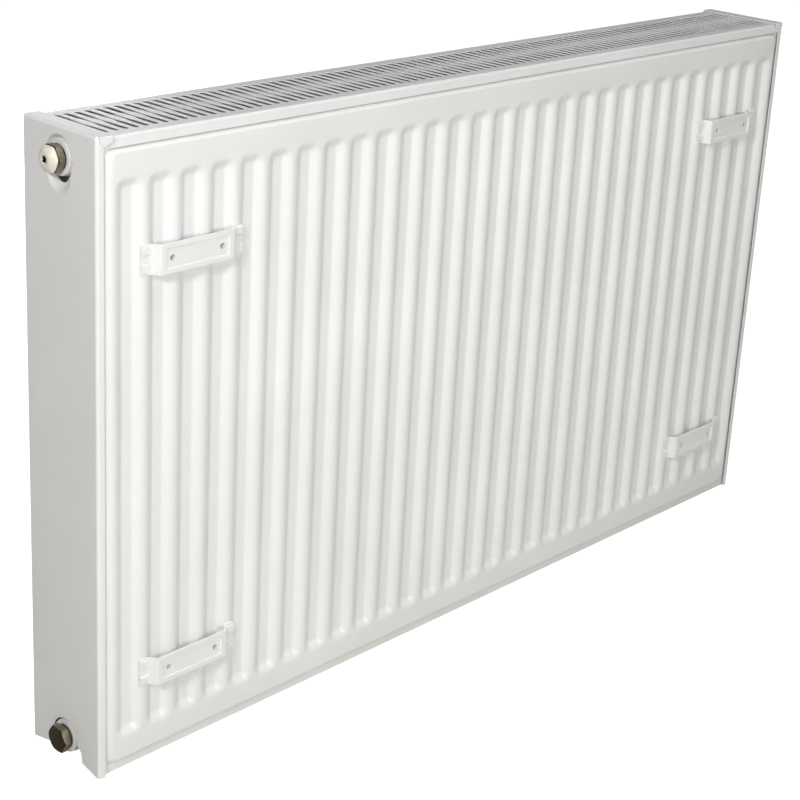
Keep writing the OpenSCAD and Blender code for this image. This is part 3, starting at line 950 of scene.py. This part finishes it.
def studio_floor():
    """Floor that runs far past the view."""
    size = FLOOR_HALF_SIZE
    bm = bmesh.new()
    corners = [(-size, -size, 0), (size, -size, 0), (size, size, 0), (-size, size, 0)]
    bm.faces.new([bm.verts.new(c) for c in corners])
    mesh = bpy.data.meshes.new("floor")
    bm.to_mesh(mesh)
    bm.free()
    floor = bpy.data.objects.new("floor", mesh)
    bpy.context.scene.collection.objects.link(floor)
    mesh.materials.append(pale_floor())


def world_light():
    """Even light from all round. The camera sees it brighter, as a white studio wall."""
    world = bpy.data.worlds.new("studio")
    bpy.context.scene.world = world
    world.use_nodes = True
    tree = world.node_tree
    light = tree.nodes["Background"]
    wall = tree.nodes.new("ShaderNodeBackground")
    for background, strength in ((light, WORLD_LIGHT), (wall, WORLD_SEEN)):
        background.inputs["Color"].default_value = (1, 1, 1, 1)
        background.inputs["Strength"].default_value = strength
    path = tree.nodes.new("ShaderNodeLightPath")
    mix = tree.nodes.new("ShaderNodeMixShader")
    tree.links.new(path.outputs["Is Camera Ray"], mix.inputs["Fac"])
    tree.links.new(light.outputs[0], mix.inputs[1])
    tree.links.new(wall.outputs[0], mix.inputs[2])
    tree.links.new(mix.outputs[0], tree.nodes["World Output"].inputs["Surface"])


def softbox(name, at, target, size, watts):
    """Rectangular soft light at a place, turned towards its target."""
    data = bpy.data.lights.new(name, "AREA")
    data.shape = "RECTANGLE"
    data.size, data.size_y = size
    data.energy = watts
    lamp = bpy.data.objects.new(name, data)
    bpy.context.scene.collection.objects.link(lamp)
    lamp.location = at
    lamp.rotation_mode = "QUATERNION"
    lamp.rotation_quaternion = (Vector(target) - Vector(at)).to_track_quat("-Z", "Y")


def camera():
    """Stands off the right end on the wall side, a little above, slightly rolled."""
    data = bpy.data.cameras.new("camera")
    data.lens = LENS
    data.sensor_width = 36
    data.shift_y = SHIFT_Y
    data.clip_end = VIEW_END
    cam = bpy.data.objects.new("camera", data)
    bpy.context.scene.collection.objects.link(cam)
    back = Vector((
        math.sin(AZIMUTH) * math.cos(ELEVATION),
        -math.cos(AZIMUTH) * math.cos(ELEVATION),
        math.sin(ELEVATION),
    ))
    cam.location = CAMERA_AT
    cam.rotation_mode = "QUATERNION"
    cam.rotation_quaternion = (-back).to_track_quat("-Z", "Y") @ Quaternion((0, 0, 1), ROLL)
    bpy.context.scene.camera = cam


# ---- Assembly ----

def repaint(node, material):
    """A better finish on a CAD node whose shape stays."""
    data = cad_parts[node].data
    data.materials.clear()
    data.materials.append(material)


enamel = white_enamel()
# Greyer enamel on the inner sheets and convectors is painted shade: it darkens the gaps seen
# through the grille, though the real insides are the same white.
inner_painted_shade_enamel = white_enamel("inner_painted_shade_enamel", light=(0.6, 0.6, 0.59), dark=(0.5, 0.5, 0.49))
brass = browned_brass()
cream = cream_plastic()
rubber = seal_rubber()
steel = spring_steel()

outer_sheet("rear_panel_face", 1, "rear_outer_sheet", enamel)
outer_sheet("front_panel_face", -1, "front_outer_sheet", enamel)
for cover_side in (-1, 1):
    side_cover(cover_side, enamel)
top_grille(enamel)
for end_name in ("right", "left"):
    for level in ("top", "bottom"):
        bracket(f"bracket_{level}_{end_name}", enamel)
        repaint(f"tee_{level}_{end_name}", enamel)
        socket_rim(level, end_name, enamel)
    repaint(f"cover_clips_{end_name}", steel)
# The insides take the greyer enamel as painted shade.
for name in ("front_inner_sheet", "rear_inner_sheet", "front_convector", "rear_convector"):
    repaint(name, inner_painted_shade_enamel)
repaint("grille_clips", steel)
for name in ("vent_o_ring", "blind_o_ring", "vent_seal"):
    repaint(name, rubber)
repaint("vent_screw", brass)
vent_plug_piece(brass)
vent_cap_piece(cream)
blind_plug_piece(brass)

studio_floor()
world_light()
for box in SOFTBOXES:
    softbox(*box)
bpy.context.scene.view_settings.view_transform = "Standard"
camera()
